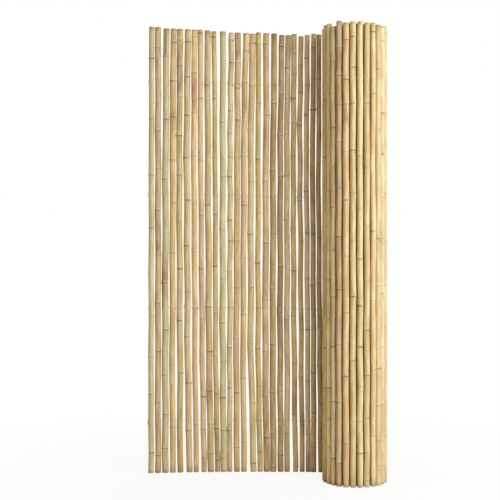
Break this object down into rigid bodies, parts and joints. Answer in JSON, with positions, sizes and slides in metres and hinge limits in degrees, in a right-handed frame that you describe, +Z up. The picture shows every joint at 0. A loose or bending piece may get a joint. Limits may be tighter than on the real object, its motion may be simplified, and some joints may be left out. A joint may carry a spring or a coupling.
{
  "type": "rolled bamboo fence",
  "caption": "Natural bamboo fence of whole canes threaded on galvanised wires, one end drawn out flat and the rest standing as an upright roll.",
  "frame": {"origin": "on the ground, in the middle of the whole fence's box", "axes": "+Z up along the canes; +X along the open stretch towards the roll; -Y towards the front"},
  "size_m": [0.9784, 0.2794, 1.8487],
  "materials": {
    "green_bamboo": "natural dried cane, unvarnished",
    "rosy_bamboo": "natural dried cane, unvarnished",
    "honey_bamboo": "natural dried cane, unvarnished",
    "olive_bamboo": "natural dried cane, unvarnished",
    "straw_bamboo": "natural dried cane, unvarnished",
    "brown_bamboo": "natural dried cane, unvarnished",
    "pale_bamboo": "natural dried cane, unvarnished",
    "galvanised_wire": "galvanised, dull grey"
  },
  "bodies": {
    "root": {"core_canes": "straw_bamboo", "outer_turn_cane_01": "honey_bamboo", "outer_turn_cane_02": "straw_bamboo", "outer_turn_cane_03": "green_bamboo", "outer_turn_cane_04": "rosy_bamboo", "outer_turn_cane_05": "straw_bamboo", "outer_turn_cane_06": "olive_bamboo", "outer_turn_cane_07": "honey_bamboo", "outer_turn_cane_08": "pale_bamboo", "outer_turn_cane_09": "straw_bamboo", "outer_turn_cane_10": "pale_bamboo", "outer_turn_cane_11": "pale_bamboo", "outer_turn_cane_12": "honey_bamboo", "outer_turn_cane_13": "pale_bamboo", "outer_turn_cane_14": "pale_bamboo", "outer_turn_cane_15": "straw_bamboo", "outer_turn_cane_16": "honey_bamboo", "outer_turn_cane_17": "rosy_bamboo", "outer_turn_cane_18": "straw_bamboo", "outer_turn_cane_19": "straw_bamboo", "outer_turn_cane_20": "olive_bamboo", "outer_turn_cane_21": "straw_bamboo", "outer_turn_cane_22": "green_bamboo", "outer_turn_cane_23": "honey_bamboo", "outer_turn_cane_24": "straw_bamboo", "outer_turn_cane_25": "rosy_bamboo", "run_cane_01": "green_bamboo", "run_cane_02": "rosy_bamboo", "run_cane_03": "green_bamboo", "run_cane_04": "honey_bamboo", "run_cane_05": "olive_bamboo", "run_cane_06": "straw_bamboo", "run_cane_07": "honey_bamboo", "run_cane_08": "rosy_bamboo", "run_cane_09": "straw_bamboo", "run_cane_10": "olive_bamboo", "run_cane_11": "green_bamboo", "run_cane_12": "straw_bamboo", "run_cane_13": "honey_bamboo", "run_cane_14": "honey_bamboo", "run_cane_15": "straw_bamboo", "run_cane_16": "olive_bamboo", "run_cane_17": "rosy_bamboo", "run_cane_18": "olive_bamboo", "run_cane_19": "brown_bamboo", "run_cane_20": "straw_bamboo", "run_cane_21": "olive_bamboo", "run_cane_22": "honey_bamboo", "run_cane_23": "straw_bamboo", "run_cane_24": "brown_bamboo", "run_cane_25": "olive_bamboo", "run_cane_26": "straw_bamboo", "run_cane_27": "honey_bamboo", "run_cane_28": "green_bamboo", "run_cane_29": "straw_bamboo", "second_turn_canes": "straw_bamboo", "wire_1": "galvanised_wire", "wire_2": "galvanised_wire", "wire_3": "galvanised_wire", "wire_4": "galvanised_wire"}
  },
  "joints": []
}
